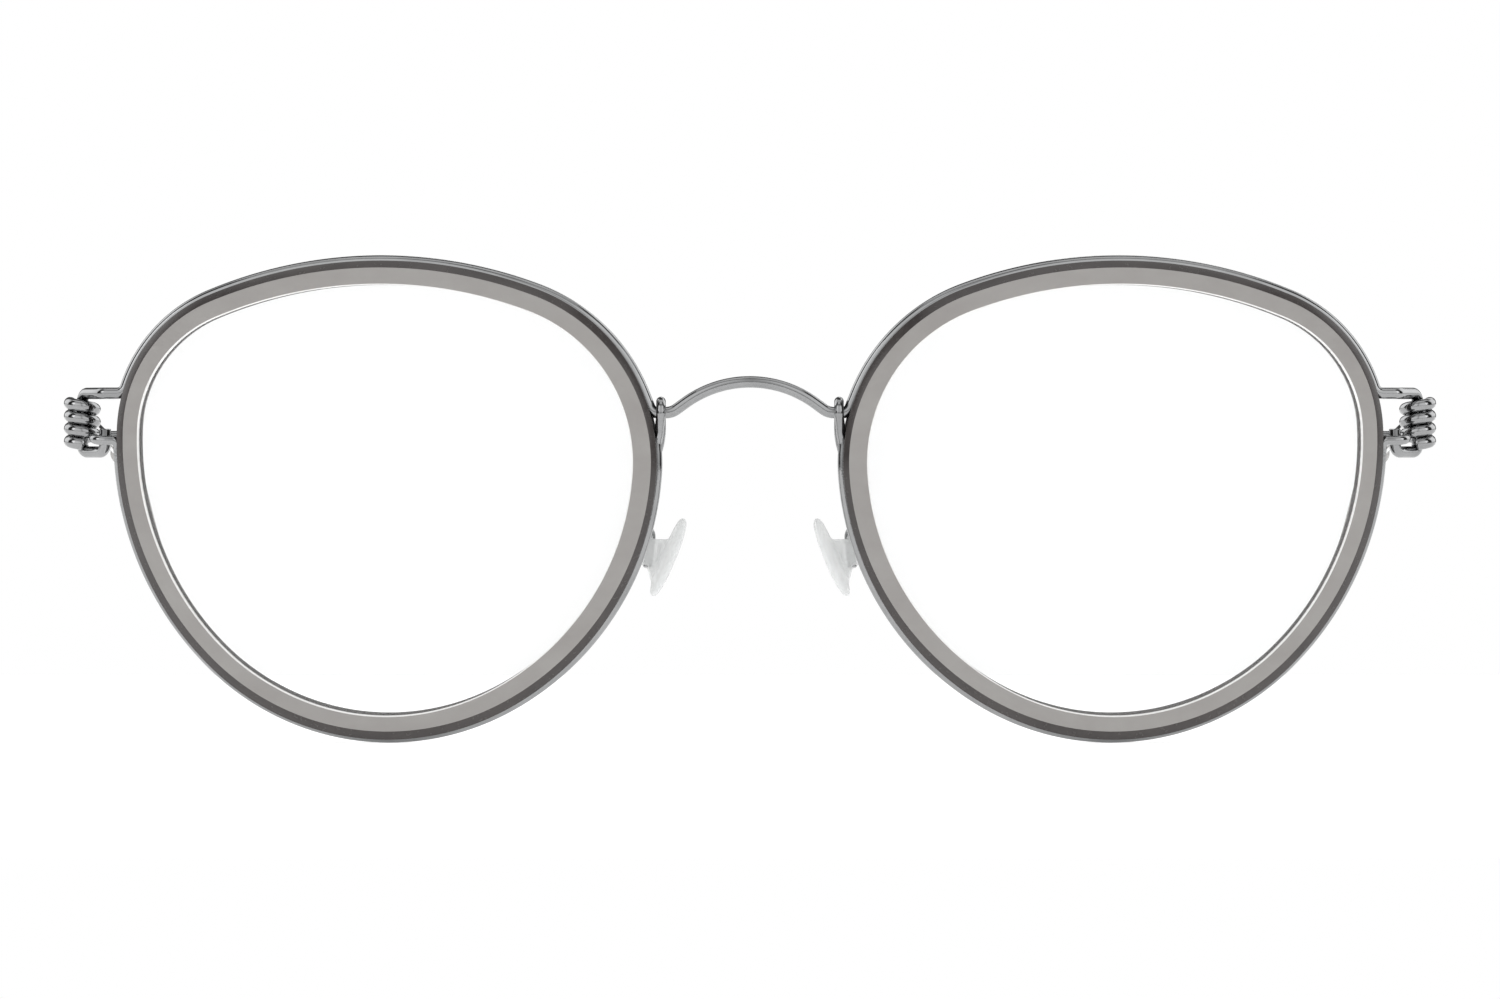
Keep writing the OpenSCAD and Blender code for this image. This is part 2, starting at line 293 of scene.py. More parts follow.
def top_wire_half():
    """From the middle of the bridge to the end of the hook, on the wearer's right."""
    centre = vec(0, NOSE_CORNER[1], BRIDGE_TOP_Z - BRIDGE_R)
    arch = arc(centre, BRIDGE_R, (0, 0, 1), (-1, 0, 0), BRIDGE_HALF, step=2.0)
    slope = vec(math.cos(deg(BRIDGE_HALF)), 0, math.sin(deg(BRIDGE_HALF)))
    foot = arch[-1] - slope * (arch[-1][2] - BRIDGE_LOW_Z) / slope[2]
    rim_end = in_plane(rim_point(NASAL_END))
    bridge_end = [arch[-1], foot, NOSE_CORNER, rim_end]
    down = bent(bridge_end, [BRIDGE_FOOT_BEND, NOSE_BEND], arc_step=5, run_step=0.4)
    corners = [in_plane(rim_point(ARM_START)), ARM_CORNER, ARM_BEND, vec(-PIN_X, PIN_Y, ARM_Z),
               vec(-PIN_X, PIN_Y, HOOK_Z), vec(HOOK_X, HOOK_Y, HOOK_Z), vec(HOOK_X, HOOK_Y, HOOK_TOP_Z)]
    bends = [ARM_ROOT_BEND, ARM_BEND_R, ARM_BEND_R, HOOK_BEND, HOOK_BEND]
    hinge = bent(corners, bends, run_step=0.5)
    return joined(arch, down, rim_run(NASAL_END, ARM_START), hinge)


PAD_CENTRE = vec(-9.55, FRONT_Y + 8.2, LENS_Z - 5)
PAD_AXIS = unit((math.sin(deg(PAD_TILT_OUT)), math.sin(deg(PAD_TILT_BACK)), math.cos(deg(PAD_TILT_OUT))))
PAD_ARM_DROP = 3.2
PAD_ARM_BENDS = [3, 1.6, 0.8, 0.6]
PAD_ARM_BACK = vec(-10.3, FRONT_Y + 5.6, LENS_Z + 2)
PAD_ARM_KNEE = vec(-10.4, PAD_CENTRE[1] - 1.2, LENS_Z - 2.3)
OVER_X = -8.4
CLEAR_X = OVER_X - 0.2
CLEAR_Z = LENS_Z + 6.2
RISE_START = 0.7
RISE_END_Z = CLEAR_Z + 1.75
RISE_BENDS = [2.2, 1.6, 0.7]


def lower_wire():
    """From the loop on the hook, under the rim and over the top wire, to the pin in the nose pad."""
    middle = vec(HOOK_X, HOOK_Y, LOOP_Z + LOOP_RISE / 2)
    spoke = vec(0, -LOOP_R, -LOOP_RISE / 2)
    loop = arc(middle, np.linalg.norm(spoke), spoke, (-1, 0, 0), 180)[::-1]
    tail = [middle - spoke + vec(LOOP_TAIL, 0, 0), middle - spoke]
    rim_start = in_plane(rim_point(LOWER_START))
    to_rim = bent([middle + spoke, LOOP_CORNER, rim_start], [LOOP_EXIT_BEND], run_step=0.5)
    front = vec(OVER_X, NOSE_CORNER[1] - LOOP_R, BRIDGE_LOW_Z)
    rear = front + vec(0, 2 * LOOP_R, 0)
    rim_end = in_plane(rim_point(NASAL_LEAVE))
    rise = [rim_end, rim_end + along_rim(NASAL_LEAVE) * RISE_START, vec(CLEAR_X, rim_end[1], CLEAR_Z),
            vec(OVER_X, front[1], RISE_END_Z), front]
    up = bent(rise, RISE_BENDS, arc_step=5, run_step=0.2)
    over = arc(vec(OVER_X, NOSE_CORNER[1], BRIDGE_LOW_Z), LOOP_R, (0, -1, 0), (0, 0, 1), 180)
    corners = [rear, rear - vec(0, 0, PAD_ARM_DROP), PAD_ARM_BACK, PAD_ARM_KNEE,
               PAD_CENTRE + PAD_AXIS * ELBOW, PAD_CENTRE - PAD_AXIS * PIN_HALF]
    arm = bent(corners, PAD_ARM_BENDS, arc_step=5, run_step=0.5)
    return joined(tail, loop, to_rim, rim_run(LOWER_START, 360 + NASAL_LEAVE), up, over, arm)


COIL_R = TOP_D / 2 + PLAY + TEMPLE_D / 2
COIL_TOP_Z = LENS_Z + 9.15
COIL_START = vec(-PIN_X - COIL_R, PIN_Y, COIL_TOP_Z)
LEAD_END = COIL_START + vec(0, LEAD_L, 0)
RUN_DIR = unit((math.sin(deg(CONVERGE)), math.cos(deg(CONVERGE)), -math.tan(deg(SLOPE))))
EAR_CORNER = LEAD_END + TEMPLE_STRAIGHT * RUN_DIR
TAIL_DROP = deg(SLOPE + EAR_BEND)
TAIL_DIR = unit((math.sin(deg(TAIL_INWARD)), math.cos(TAIL_DROP), -math.sin(TAIL_DROP)))
SLEEVE_END = EAR_CORNER + TAIL_L * TAIL_DIR
WIRE_END = SLEEVE_END - WIRE_SHORT * TAIL_DIR
SLEEVE_START = EAR_CORNER - SLEEVE_RUN * RUN_DIR


def temple():
    """From the cut end of the coil, up round the pin and back to the ear."""
    n = int(COIL_TURNS * STEPS_PER_TURN)
    coil = []
    for k in range(n + 1):
        turn = COIL_TURNS * k / n
        a = math.pi + 2 * math.pi * turn
        z = COIL_TOP_Z - COIL_PITCH * turn
        coil.append(vec(-PIN_X + COIL_R * math.cos(a), PIN_Y + COIL_R * math.sin(a), z))
    corners = [COIL_START, LEAD_END, EAR_CORNER, WIRE_END]
    back = bent(corners, [LEAD_BEND_R, EAR_BEND_R], arc_step=3, run_step=2.0)
    return joined(coil[::-1], back)


def ear_sleeve():
    """The sleeve's line, and its radius at each point: a tapered start and a slight waist."""
    line = bent([SLEEVE_START, EAR_CORNER, SLEEVE_END], [EAR_BEND_R], arc_step=2, run_step=0.8)
    steps = np.linalg.norm(np.diff(np.array(line), axis=0), axis=1)
    run = np.concatenate([[0], np.cumsum(steps)])
    radii = []
    for x in run:
        grow = min(1.0, x / SLEEVE_TAPER)
        start_step = SLEEVE_STEP * (1 - grow * grow * (3 - 2 * grow))
        waist = SLEEVE_WAIST * math.exp(-(((x - run[-1] * SLEEVE_WAIST_AT) / SLEEVE_WAIST_L) ** 2))
        radii.append(SLEEVE_D / 2 - start_step - waist)
    return line, radii


# ---------------------------------------- meshes
# a direction that no wire starts along
NO_WIRE_STARTS = (0.3, 0.2, 0.9)


def cross_sections(points):
    """Tangent and two cross directions at each point, with the least twist along the line."""
    p = np.array(points)
    tangents = np.gradient(p, axis=0)
    tangents /= np.linalg.norm(tangents, axis=1)[:, None]
    side = unit(np.cross(tangents[0], NO_WIRE_STARTS))
    out = []
    for k, t in enumerate(tangents):
        if k:
            step = p[k] - p[k - 1]
            flipped = side - (2 / (step @ step)) * (step @ side) * step
            t_flipped = tangents[k - 1] - (2 / (step @ step)) * (step @ tangents[k - 1]) * step
            turn = t - t_flipped
            size = turn @ turn
            side = flipped - (2 / size) * (turn @ flipped) * turn if size > 1e-14 else flipped
        side = unit(side - (side @ t) * t)
        out.append((t, side, np.cross(t, side)))
    return p, out


def new_object(name, verts, faces, smooth_angle=40, slots=None):
    mesh = bpy.data.meshes.new(name)
    mesh.from_pydata([tuple(v) for v in np.asarray(verts) * MM], [], faces)
    if slots is not None:
        mesh.polygons.foreach_set("material_index", slots)
    bm = bmesh.new()
    bm.from_mesh(mesh)
    bmesh.ops.recalc_face_normals(bm, faces=bm.faces)
    bm.to_mesh(mesh)
    bm.free()
    mesh.polygons.foreach_set("use_smooth", [True] * len(mesh.polygons))
    mesh.set_sharp_from_angle(angle=deg(smooth_angle))
    obj = bpy.data.objects.new(name, mesh)
    bpy.context.scene.collection.objects.link(obj)
    return obj


def end_rings(point, section, radius, outward, chamfer):
    """Rings that close a wire's end, from the wire outwards: a chamfer, or a dome where chamfer is None.

    A ring is its centre, its directions, its radius and how much of its depth it keeps.
    """
    if chamfer is not None:
        return [(point, section, radius - chamfer, 1.0)]
    steps = 8
    rings = []
    for q in range(1, steps):
        a = deg(90 * q / steps)
        centre = point + outward * section[0] * radius * math.sin(a)
        rings.append((centre, section, radius * math.cos(a), 1.0))
    return rings


def tube(name, points, radius, sides=28, chamfers=(0.1, 0.1), flatten=None):
    """A wire along points. radius is one number or one for each point. flatten squashes it front to back."""
    p, sections = cross_sections(points)
    n = len(p)
    radii = np.full(n, float(radius)) if np.isscalar(radius) else np.asarray(radius, float)
    squashes = np.ones(n) if flatten is None else np.asarray(flatten)
    head = end_rings(p[0], sections[0], radii[0], -1, chamfers[0])[::-1]
    tail = end_rings(p[-1], sections[-1], radii[-1], 1, chamfers[1])
    centres = list(p)
    centres[0] = p[0] + sections[0][0] * (chamfers[0] or 0)
    centres[-1] = p[-1] - sections[-1][0] * (chamfers[1] or 0)
    rings = head + list(zip(centres, sections, radii, squashes)) + tail
    verts = []
    faces = []
    for centre, (_, across, up), r, squash in rings:
        for s in range(sides):
            w = 2 * math.pi * s / sides
            verts.append(centre + r * (math.cos(w) * across + math.sin(w) * up) * vec(1, squash, 1))
    for i in range(len(rings) - 1):
        low = i * sides
        high = low + sides
        for s in range(sides):
            s2 = (s + 1) % sides
            faces.append((low + s, low + s2, high + s2, high + s))
    faces.append(tuple(range(sides))[::-1])
    faces.append(tuple((len(rings) - 1) * sides + s for s in range(sides)))
    return new_object(name, verts, faces)


def rounded(corners, per):
    """A closed profile from corners (x, y, radius), with per + 1 points round each one."""
    out = []
    for i, (x, y, r) in enumerate(corners):
        p = np.array([x, y])
        to_last = unit(np.array(corners[i - 1][:2]) - p)
        to_next = unit(np.array(corners[(i + 1) % len(corners)][:2]) - p)
        if r <= 0:
            out.append(p)
            continue
        half_angle = math.acos(max(-1, min(1, to_last @ to_next))) / 2
        setback = r / math.tan(half_angle)
        start = p + to_last * setback
        end = p + to_next * setback
        centre = p + unit(to_last + to_next) * r / math.sin(half_angle)
        for k in range(per + 1):
            t = k / per
            out.append(centre + unit((start - centre) * (1 - t) + (end - centre) * t) * r)
    return out


def swell_at(a, middle, half_width):
    """1 at one direction, easing to 0 at half_width degrees from it."""
    d = abs((a - middle + 180) % 360 - 180) / half_width
    return 0.0 if d >= 1 else 0.5 + 0.5 * math.cos(math.pi * d)


# the material slots of an inner rim: the acetate's face, a painted shade on the bevels, flanges, wire groove
# and rear inner walls, and a painted highlight on the front chamfer and the walls beside the lens
ON_FACE = 0
ON_PAINTED_SHADE = 1
ON_PAINTED_HIGHLIGHT = 2
CORNER_STEPS = 4


def rim_profile(a):
    """Section of an inner rim at one direction, and the material slot of the side that follows each point.

    Towards the temple and the bottom the opening is a little wider in front and the rear lip stands further
    in. The bevel is narrower at the nose, and the outer flanges stand further out along the bottom.
    """
    h = RIM_DEPTH / 2
    edge = 0.1
    wide = max(swell_at(a, 180, 75), swell_at(a, 262, 65), swell_at(a, 222, 60))
    front = OPENING_WIDER * wide - RIM_W
    rear = front - LIP_FURTHER_IN * swell_at(a, 275, 70)
    front_chamfer = edge + FRONT_CHAMFER_WIDER * wide
    bevel = BEVEL_W - BEVEL_NARROWER * swell_at(a, 0, 55)
    flange = FLANGE + FLANGE_FURTHER_OUT * swell_at(a, 255, 95)
    lens_floor = front + LENS_GROOVE
    # the dark slot paints shade on the bevels, the outer flanges, the wire groove and the rear inner walls;
    # the pale slot paints a highlight on the front chamfer, the front inner wall and the lens groove
    corners = [
        (rear, -h + edge, 0.05, ON_PAINTED_SHADE), (rear + edge, -h, 0.05, ON_FACE),
        (-bevel, -h, 0.12, ON_PAINTED_SHADE), (flange, -h + bevel, 0.05, ON_PAINTED_SHADE),
        (flange, -GROOVE, 0.02, ON_PAINTED_SHADE), (-GROOVE, -GROOVE, 0.12, ON_PAINTED_SHADE),
        (-GROOVE, GROOVE, 0.12, ON_PAINTED_SHADE), (flange, GROOVE, 0.02, ON_PAINTED_SHADE),
        (flange, h - bevel, 0.05, ON_PAINTED_SHADE), (-bevel, h, 0.12, ON_FACE),
        (front + front_chamfer, h, 0.04, ON_PAINTED_HIGHLIGHT), (front, h - front_chamfer, 0.04, ON_PAINTED_HIGHLIGHT),
        (front, LENS_ROOM, 0.04, ON_PAINTED_HIGHLIGHT), (lens_floor, LENS_ROOM, 0, ON_PAINTED_HIGHLIGHT),
        (lens_floor, -LENS_ROOM, 0, ON_PAINTED_SHADE), (rear, -LENS_ROOM, 0.03, ON_PAINTED_SHADE)]
    points = rounded([c[:3] for c in corners], CORNER_STEPS)
    looks = []
    for i, (_, _, radius, look) in enumerate(corners):
        if radius <= 0:
            looks.append(look)
        else:
            looks += [corners[i - 1][3]] * (CORNER_STEPS // 2) + [look] * (CORNER_STEPS // 2 + 1)
    return points, looks


def inner_rim():
    """An acetate ring on the wearer's right, as sections all round the outline."""
    count = 360
    verts = []
    faces = []
    slots = []
    for k in range(count):
        a = FIRST_JOIN + 360 * k / count
        profile, looks = rim_profile(a)
        m = len(profile)
        verts += [in_plane(rim_point(a, -x), forward) for x, forward in profile]
        k2 = (k + 1) % count
        for j in range(m):
            j2 = (j + 1) % m
            faces.append((k * m + j, k * m + j2, k2 * m + j2, k2 * m + j))
            slots.append(looks[j])
    return verts, faces, slots


def lens():
    """A curved lens on the wearer's right: two dished faces joined round their edge.

    The middle of each face is one small flat facet.
    """
    inset = RIM_W - LENS_GROOVE + LENS_EDGE_PLAY
    apex = LENS_T / 2 + HALF_H ** 2 / (2 * LENS_R)
    rings = 26
    spokes = 180
    outline = [rim_point(FIRST_JOIN + 360 * s / spokes, inset) for s in range(spokes)]
    verts = []
    for back in (0, LENS_T):
        for i in range(1, rings + 1):
            scale = LENS_EDGE_SCALE if i == rings else 1
            for edge_point in outline:
                q = edge_point * i / rings * scale
                verts.append(in_plane(q, apex - LENS_R + math.sqrt(LENS_R ** 2 - q @ q) - back))
    size = rings * spokes
    faces = []
    for face in (0, size):
        faces.append(tuple(face + s for s in range(spokes)))
        for i in range(rings - 1):
            low = face + i * spokes
            high = low + spokes
            for s in range(spokes):
                s2 = (s + 1) % spokes
                faces.append((low + s, low + s2, high + s2, high + s))
    rim = size - spokes
    for s in range(spokes):
        s2 = (s + 1) % spokes
        faces.append((rim + s, rim + s2, size + rim + s2, size + rim + s))
    return verts, faces


def superball(bm, centre, half, power, turn, bend=0.0, narrow=0.0):
    """A ball with squared sides. half is its three half sizes. bend and narrow shape it along its length."""
    ball = bmesh.ops.create_uvsphere(bm, u_segments=56, v_segments=40, radius=1)
    for v in ball["verts"]:
        d = np.array(v.co)
        squared = np.sign(d) * np.abs(d) ** (2 / power)
        squared = squared / max(1e-9, (np.abs(squared) ** power).sum() ** (1 / power))
        q = squared * half
        q[1] *= 1 - narrow * squared[2]
        q[0] -= bend * q[2] ** 2
        v.co = turn(centre + q)


def leaning(q):
    """From the blade's own directions to those of the boss."""
    c = math.cos(deg(BLADE_LEAN))
    s = math.sin(deg(BLADE_LEAN))
    return vec(q[0] * c + q[2] * s, q[1], q[2] * c - q[0] * s)


def as_it_is(q):
    return q


MELT_VOXEL = 0.1
SOFTEN_STEPS = 22


def nose_pad(name, mirror):
    """A soft blade, a boss and the web between them, melted into one by a fine remesh and some smoothing."""
    bm = bmesh.new()
    blade_half = vec((BLADE_FACE - BLADE_BACK) / 2 + BLADE_PLUMP, PAD_W / 2, PAD_L / 2)
    blade_middle = vec((BLADE_FACE + BLADE_BACK) / 2, 0, BLADE_UP)
    superball(bm, blade_middle, blade_half, 2.6, leaning, bend=0.004, narrow=0.1)
    superball(bm, vec(0, 0, 0), vec(BOSS_R, BOSS_R, BOSS_HALF + BOSS_PLUMP), 3.2, as_it_is)
    web = []
    for y in (-WEB_T / 2, WEB_T / 2):
        for z in (BOSS_HALF - WEB_SUNK, WEB_SUNK - BOSS_HALF):
            web.append(vec(-WEB_SUNK, y, z))
        for z in (WEB_TOP, WEB_BOTTOM):
            web.append(leaning(vec(BLADE_BACK + WEB_BITE, y * WEB_TAPER, z)))
    bmesh.ops.convex_hull(bm, input=[bm.verts.new(q) for q in web])
    mesh = bpy.data.meshes.new(name)
    bm.to_mesh(mesh)
    bm.free()
    obj = bpy.data.objects.new(name, mesh)
    bpy.context.scene.collection.objects.link(obj)
    melt = obj.modifiers.new("melt", "REMESH")
    melt.mode = "VOXEL"
    melt.voxel_size = MELT_VOXEL
    melt.use_smooth_shade = True
    soften = obj.modifiers.new("soften", "SMOOTH")
    soften.factor = 0.5
    soften.iterations = SOFTEN_STEPS
    done = bpy.data.meshes.new_from_object(obj.evaluated_get(bpy.context.evaluated_depsgraph_get()))
    obj.modifiers.clear()

    across = unit(np.cross((0, 1, 0), PAD_AXIS))
    back = np.cross(PAD_AXIS, across)
    c = math.cos(deg(PAD_SPLAY))
    s = math.sin(deg(PAD_SPLAY))
    x_way = across * c + back * s
    y_way = back * c - across * s
    local = np.array([v.co for v in done.vertices])
    placed = PAD_CENTRE + local[:, :1] * x_way + local[:, 1:2] * y_way + local[:, 2:] * PAD_AXIS
    if mirror:
        placed = placed * vec(-1, 1, 1)
        done.flip_normals()
    done.vertices.foreach_set("co", (placed * MM).ravel())
    done.polygons.foreach_set("use_smooth", [True] * len(done.polygons))
    done.update()
    obj.data = done
    return obj


# ---------------------------------------- materials
def node(tree, kind, **props):
    n = tree.nodes.new(kind)
    for key, value in props.items():
        setattr(n, key, value)
    return n


def noise(tree, scale, detail, rough, stretch=(1, 1, 1)):
    where = node(tree, "ShaderNodeTexCoord")
    stretched = node(tree, "ShaderNodeMapping")
    stretched.inputs["Scale"].default_value = stretch
    n = node(tree, "ShaderNodeTexNoise")
    n.inputs["Scale"].default_value = scale
    n.inputs["Detail"].default_value = detail
    n.inputs["Roughness"].default_value = rough
    tree.links.new(where.outputs["Object"], stretched.inputs["Vector"])
    tree.links.new(stretched.outputs["Vector"], n.inputs["Vector"])
    return n.outputs["Fac"]


def ramp(tree, source, stops):
    r = node(tree, "ShaderNodeValToRGB")
    elements = r.color_ramp.elements
    while len(elements) < len(stops):
        elements.new(0.5)
    for element, (at, colour) in zip(elements, stops):
        element.position = at
        element.color = (*colour, 1)
    tree.links.new(source, r.inputs["Fac"])
    return r.outputs["Color"]


def spread(tree, source, from_range, to_range):
    m = node(tree, "ShaderNodeMapRange")
    for name, value in zip(("From Min", "From Max", "To Min", "To Max"), (*from_range, *to_range)):
        m.inputs[name].default_value = value
    tree.links.new(source, m.inputs["Value"])
    return m.outputs["Result"]


NOISE_RANGE = (0.3, 0.7)


def surface(name, cloud, dark, light, gloss, roughness, grain=None, bump=None,
            colour_range=NOISE_RANGE, **sockets):
    """A procedural material. cloud, gloss and grain are noises, and give what noise() takes after the tree.

    cloud blends the two colours, gloss spreads the roughness, and grain is the height of the bump, whose
    strength and distance are in bump.
    """
    m = bpy.data.materials.new(name)
    m.use_nodes = True
    tree = m.node_tree
    shader = tree.nodes["Principled BSDF"]
    for key, value in sockets.items():
        shader.inputs[key.replace("_", " ")].default_value = value
    colours = list(zip(colour_range, (dark, light)))
    tree.links.new(ramp(tree, noise(tree, *cloud), colours), shader.inputs["Base Color"])
    tree.links.new(spread(tree, noise(tree, *gloss), NOISE_RANGE, roughness), shader.inputs["Roughness"])
    if grain:
        b = node(tree, "ShaderNodeBump")
        b.inputs["Strength"].default_value = bump[0]
        b.inputs["Distance"].default_value = bump[1]
        tree.links.new(noise(tree, *grain), b.inputs["Height"])
        tree.links.new(b.outputs["Normal"], shader.inputs["Normal"])
    return m


TITANIUM = surface(
    "titanium", cloud=(260, 4, 0.55), dark=(0.285, 0.288, 0.291), light=(0.35, 0.353, 0.356),
    gloss=(2600, 3, 0.6), roughness=(0.05, 0.12), grain=(5200, 2, 0.5), bump=(0.12, 0.00002), Metallic=1.0)
ACETATE_FACE = surface(
    "acetate_face", cloud=(190, 4, 0.6, (1, 1, 1.6)), dark=(0.278, 0.264, 0.254),
    light=(0.312, 0.301, 0.289), gloss=(1500, 3, 0.6), roughness=(0.34, 0.5), grain=(3800, 2, 0.5),
    bump=(0.1, 0.00003), Coat_Weight=0.25, Coat_Roughness=0.22, IOR=1.48)
# near black: painted shade on the bevels, the outer flanges, the wire groove and the rear inner walls
ACETATE_PAINTED_SHADE = surface(
    "acetate_painted_shade", cloud=(240, 4, 0.6), dark=(0.043, 0.038, 0.037), light=(0.063, 0.056, 0.054),
    gloss=(1800, 3, 0.6), roughness=(0.16, 0.3), grain=(4200, 2, 0.5), bump=(0.08, 0.00002),
    Coat_Weight=0.15, Coat_Roughness=0.2, IOR=1.45)
# the walls beside the lens, painted near white: a painted highlight for the light they catch through its
# edge
ACETATE_PAINTED_HIGHLIGHT = surface(
    "acetate_painted_highlight", cloud=(300, 3, 0.6), dark=(0.80, 0.795, 0.785), light=(0.92, 0.915, 0.905),
    gloss=(1800, 3, 0.6), roughness=(0.2, 0.34), Coat_Weight=0.4, Coat_Roughness=0.12, IOR=1.48)
LENS = surface(
    "lens_clear", cloud=(60, 3, 0.6, (1, 1, 2.5)), dark=(0.93, 0.95, 0.95), light=(0.97, 0.975, 0.97),
    gloss=(900, 4, 0.6), roughness=(0.02, 0.08), colour_range=(0.35, 0.65), IOR=1.3, Alpha=0.07)
PAD = surface(
    "pad_silicone", cloud=(500, 3, 0.5), dark=(0.77, 0.785, 0.785), light=(0.82, 0.83, 0.825),
    gloss=(1400, 3, 0.6), roughness=(0.28, 0.42), grain=(1200, 2, 0.5), bump=(0.08, 0.00003),
    IOR=1.41, Alpha=0.6)
SLEEVE = surface(
    "sleeve_silicone", cloud=(220, 4, 0.6), dark=(0.30, 0.288, 0.28), light=(0.345, 0.332, 0.322),
    gloss=(2400, 3, 0.6), roughness=(0.42, 0.6), grain=(3000, 3, 0.6), bump=(0.2, 0.00004),
    IOR=1.41, Sheen_Weight=0.15, Sheen_Roughness=0.5)


# ---------------------------------------- pieces
def place(obj, body, cad_node, slot_name, *mats):
    for m in mats:
        obj.data.materials.append(m)
    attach(obj, body)
    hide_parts(cad_node)


def bridge_squash(x, half_width=5.5, most=0.16):
    """How much of its depth the top wire keeps: the bridge is flattened a little at its middle."""
    return 1 - most * max(0.0, 1 - (x / half_width) ** 2)


half = top_wire_half()
whole = half[::-1] + mirrored(half)[1:]
top_wire = tube("top_wire_bent", whole, TOP_D / 2, 32, (0.09, 0.09), [bridge_squash(p[0]) for p in whole])
place(top_wire, "front", "top_wire", "titanium_wire", TITANIUM)

for name, mirror in (("right", False), ("left", True)):
    on_side = mirrored if mirror else list

    obj = tube(f"lower_wire_bent_{name}", on_side(lower_wire()), LOW_D / 2)
    place(obj, "front", f"lower_wire_{name}", "titanium_wire", TITANIUM)

    verts, faces, slots = inner_rim()
    obj = new_object(f"inner_rim_turned_{name}", on_side(verts), faces, 50, slots)
    # the rim's second and third materials are painted shade and a painted highlight
    place(obj, "front", f"inner_rim_{name}", "acetate", ACETATE_FACE, ACETATE_PAINTED_SHADE, ACETATE_PAINTED_HIGHLIGHT)

    verts, faces = lens()
    obj = new_object(f"lens_ground_{name}", on_side(verts), faces, 50)
    place(obj, "front", f"lens_{name}", "lens", LENS)

    obj = nose_pad(f"nose_pad_moulded_{name}", mirror)
    place(obj, f"nose_pad_{name}", f"nose_pad_{name}", "pad_silicone", PAD)

    obj = tube(f"temple_wire_{name}", on_side(temple()), TEMPLE_D / 2, chamfers=(0.14, 0.1))
    place(obj, f"temple_{name}", f"temple_{name}", "titanium_wire", TITANIUM)

    line, radii = ear_sleeve()
    obj = tube(f"ear_sleeve_moulded_{name}", on_side(line), radii, 32, (0.08, None))
    place(obj, f"temple_{name}", f"ear_sleeve_{name}", "sleeve_silicone", SLEEVE)

# ---------------------------------------- floor
FLOOR_HALF = 0.7
FLOOR_DROP = 0.00002
floor_mesh = bpy.data.meshes.new("floor")
floor_corners = [(x * FLOOR_HALF, y * FLOOR_HALF, 0) for x, y in ((-1, -1), (1, -1), (1, 1), (-1, 1))]
floor_mesh.from_pydata(floor_corners, [], [(0, 1, 2, 3)])
floor = bpy.data.objects.new("floor", floor_mesh)
bpy.context.scene.collection.objects.link(floor)
floor.location.z = -FLOOR_DROP
floor_pale = bpy.data.materials.new("floor_pale")
floor_pale.use_nodes = True
floor_shader = floor_pale.node_tree.nodes["Principled BSDF"]
floor_shader.inputs["Base Color"].default_value = (0.93, 0.93, 0.93, 1)
floor_shader.inputs["Roughness"].default_value = 0.9
floor_shader.inputs["Emission Color"].default_value = (1, 1, 1, 1)
floor_shader.inputs["Emission Strength"].default_value = 0.42
floor.data.materials.append(floor_pale)

# ---------------------------------------- studio: white to the eye, panels to the metal
world = bpy.data.worlds.new("studio")
bpy.context.scene.world = world
world.use_nodes = True
sky_tree = world.node_tree
sky_tree.nodes.clear()
where = node(sky_tree, "ShaderNodeTexCoord")
direction = node(sky_tree, "ShaderNodeSeparateXYZ")
sky_tree.links.new(where.outputs["Generated"], direction.inputs["Vector"])


def calc(operation, *terms):
    m = node(sky_tree, "ShaderNodeMath", operation=operation)
    for socket, term in zip(m.inputs, terms):
        if isinstance(term, float):
            socket.default_value = term
        else:
            sky_tree.links.new(term, socket)
    return m.outputs["Value"]


def brightness(source, low, high, stops):
    """Grey levels along a value that runs from low to high."""
    greys = [(at, (g, g, g)) for at, g in stops]
    return ramp(sky_tree, spread(sky_tree, source, (low, high), (0, 1)), greys)


# by height, and by how far round from the front: dark panels straight to each side and behind the glasses
by_height = brightness(direction.outputs["Z"], -1, 1, [
    (0.0, 0.6), (0.5, 0.75), (0.57, 1.6), (0.84, 1.6), (0.92, 0.5), (1.0, 0.6)])
aside = calc("ABSOLUTE", direction.outputs["X"])
forwards = calc("MULTIPLY", direction.outputs["Y"], -1.0)
round_front = calc("ARCTAN2", aside, forwards)
by_side = brightness(round_front, 0, math.pi, [
    (0.0, 0.6), (0.05, 1.1), (0.29, 1.25), (0.34, 0.04), (0.52, 0.04), (0.57, 1.5), (0.78, 1.5),
    (0.86, 0.1), (1.0, 0.1)])
both = node(sky_tree, "ShaderNodeMixRGB", blend_type="MULTIPLY")
both.inputs["Fac"].default_value = 1.0
sky_tree.links.new(by_height, both.inputs["Color1"])
sky_tree.links.new(by_side, both.inputs["Color2"])

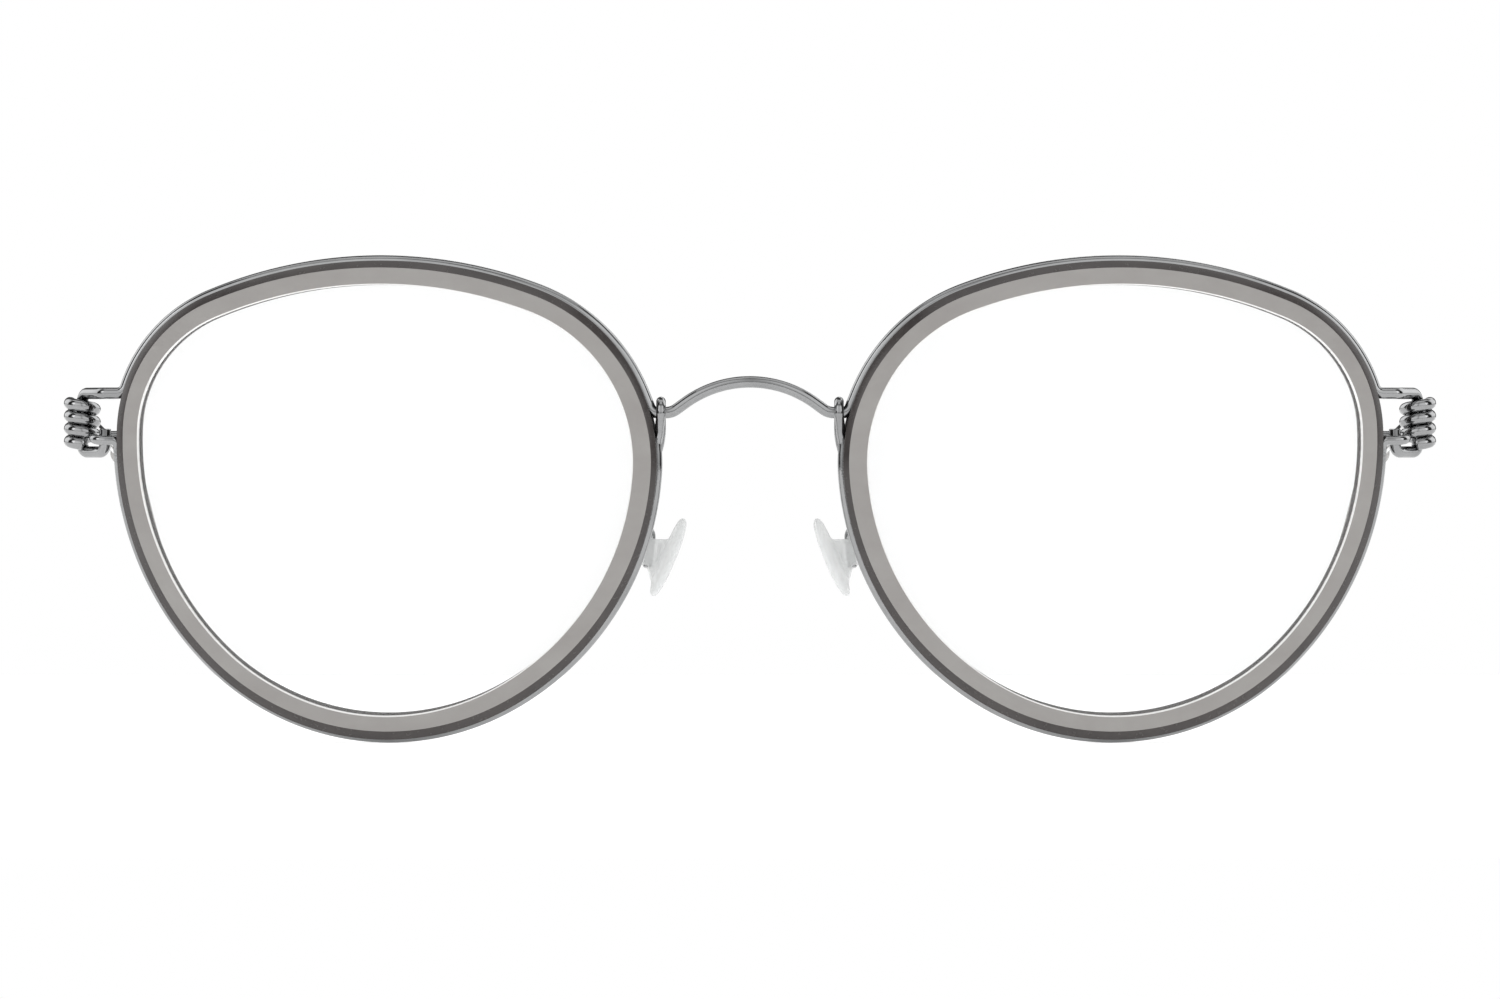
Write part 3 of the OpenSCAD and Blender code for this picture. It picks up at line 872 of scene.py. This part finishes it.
studio = node(sky_tree, "ShaderNodeBackground")
studio.inputs["Strength"].default_value = 0.72
sky_tree.links.new(both.outputs["Color"], studio.inputs["Color"])
plain = node(sky_tree, "ShaderNodeBackground")
plain.inputs["Color"].default_value = (1, 1, 1, 1)
plain.inputs["Strength"].default_value = 1.0
path = node(sky_tree, "ShaderNodeLightPath")
mix = node(sky_tree, "ShaderNodeMixShader")
sky_tree.links.new(path.outputs["Is Camera Ray"], mix.inputs["Fac"])
sky_tree.links.new(studio.outputs["Background"], mix.inputs[1])
sky_tree.links.new(plain.outputs["Background"], mix.inputs[2])
sky_out = node(sky_tree, "ShaderNodeOutputWorld")
sky_tree.links.new(mix.outputs["Shader"], sky_out.inputs["Surface"])


LAMP_AIM = (0, 0, 0.02)


def softbox(name, at, size, power):
    """A rectangular lamp, placed in metres, that faces the glasses."""
    light = bpy.data.lights.new(name, "AREA")
    light.shape = "RECTANGLE"
    light.size = size[0]
    light.size_y = size[1]
    light.energy = power
    obj = bpy.data.objects.new(name, light)
    bpy.context.scene.collection.objects.link(obj)
    d = unit(vec(*LAMP_AIM) - vec(*at))
    obj.location = at
    obj.rotation_euler = (math.acos(-d[2]), 0, math.atan2(-d[0], d[1]))


softbox("softbox_top", (0, -0.1, 1.6), (1.6, 1.2), 4)
softbox("softbox_left", (-1.5, -0.9, 0.9), (0.5, 1.1), 3)
softbox("softbox_right", (1.5, -0.9, 0.8), (0.5, 1.1), 2.5)
softbox("softbox_back", (0.5, 1.8, 1.3), (1.2, 0.6), 3)

# ---------------------------------------- camera, square to the front as in the photo, in metres
VIEW_WIDTH = 0.14175
DISTANCE = 2.0
RIM_PLANE_Y = -0.063
SENSOR = 36.0
camera = bpy.data.cameras.new("camera")
camera.sensor_width = SENSOR
camera.lens = SENSOR * DISTANCE / VIEW_WIDTH
camera.clip_start = 0.05
camera.clip_end = 50
cam = bpy.data.objects.new("camera", camera)
bpy.context.scene.collection.objects.link(cam)
cam.location = (0, RIM_PLANE_Y - DISTANCE, LENS_Z * MM)
cam.rotation_euler = (math.pi / 2, 0, 0)
bpy.context.scene.camera = cam
bpy.context.scene.view_settings.view_transform = "Standard"
